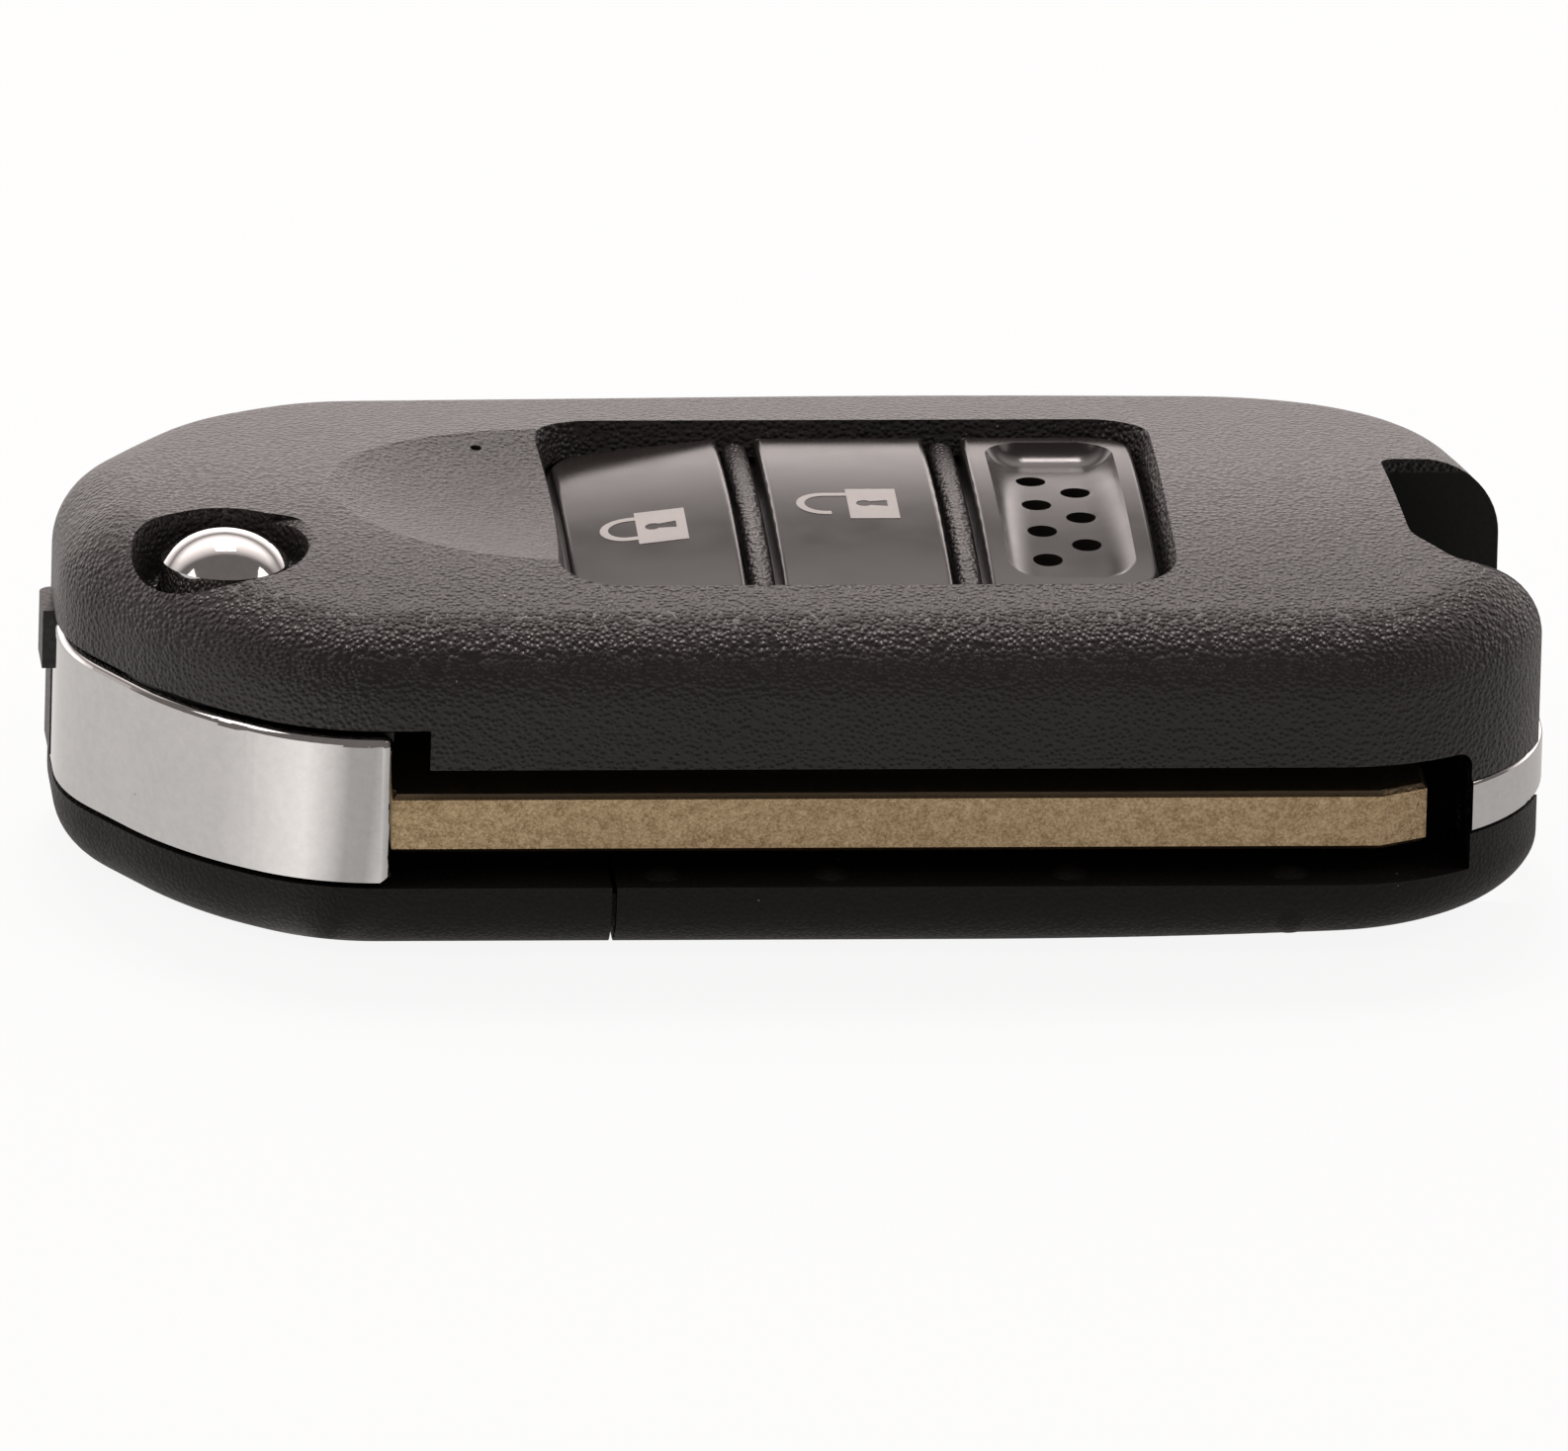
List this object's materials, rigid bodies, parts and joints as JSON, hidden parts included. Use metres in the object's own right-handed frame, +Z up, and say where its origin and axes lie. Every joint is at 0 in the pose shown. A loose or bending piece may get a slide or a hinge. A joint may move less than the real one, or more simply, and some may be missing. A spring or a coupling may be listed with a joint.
{
  "type": "folding key fob",
  "caption": "Folding car key fob: blade folded into a side slot, domed release button, push buttons with a grip pad, chrome collar and a key-ring bow.",
  "frame": {"origin": "middle of the box round the fob, on its underside", "axes": "+X along the case towards the key ring, -Y the side that the blade folds into, +Z up through the buttons"},
  "size_m": [0.075, 0.0373, 0.0188],
  "materials": {
    "shell_plastic": "dark grey moulded plastic with a fine satin grain",
    "cover_plastic": "near black moulded plastic, coarse matte grain",
    "frame_plastic": "black moulded plastic",
    "hub_plastic": "black moulded plastic, satin",
    "chrome": "bright chrome plate",
    "blade_metal": "nickel silver with a warm cast, drawn lengthwise",
    "spring_steel": "plain drawn steel",
    "button_gloss": "smoked gloss plastic",
    "membrane_rubber": "grey silicone rubber",
    "board": "green solder mask",
    "light_lens": "red diffused lens",
    "chip_plastic": "black moulding compound",
    "battery_steel": "plain nickel plated steel",
    "contact_brass": "bright sprung brass strip"
  },
  "bodies": {
    "case": {"upper_shell": "shell_plastic", "pivot_cover": "cover_plastic", "rear_cover": "cover_plastic", "inner_frame": "frame_plastic", "key_ring_bow": "chrome", "grip_pad": "button_gloss", "keypad_membrane": "membrane_rubber", "circuit_board": "board", "key_switches": "spring_steel", "status_light": "light_lens", "control_chip": "chip_plastic", "coin_battery": "battery_steel", "lower_contact": "contact_brass", "upper_contact": "contact_brass", "transponder_chip": "chip_plastic", "case_screws": "battery_steel"},
    "blade_head": {"blade_hub": "hub_plastic", "chrome_collar": "chrome", "key_blade": "blade_metal", "roll_pin": "spring_steel", "flip_spring": "spring_steel"},
    "release_button": {"release_button": "chrome"},
    "lock_button": {"lock_button": "button_gloss"},
    "unlock_button": {"unlock_button": "button_gloss"}
  },
  "joints": [
    {"name": "blade_flip", "type": "hinge", "parent": "case", "child": "blade_head", "pos_m": [-0.029, -0.008, 0.00785], "axis": [0, 0, -1], "range_deg": [0, 180]},
    {"name": "release_press", "type": "slide", "parent": "blade_head", "child": "release_button", "axis": [0, 0, -1], "range_m": [0, 0.0015], "stiffness_N_per_m": 2000, "springref_m": -0.001, "deforming": ["flip_spring"]},
    {"name": "lock_press", "type": "slide", "parent": "case", "child": "lock_button", "axis": [0, 0, -1], "range_m": [0, 0.0005], "stiffness_N_per_m": 800, "springref_m": -0.0005},
    {"name": "unlock_press", "type": "slide", "parent": "case", "child": "unlock_button", "axis": [0, 0, -1], "range_m": [0, 0.0005], "stiffness_N_per_m": 800, "springref_m": -0.0005}
  ]
}
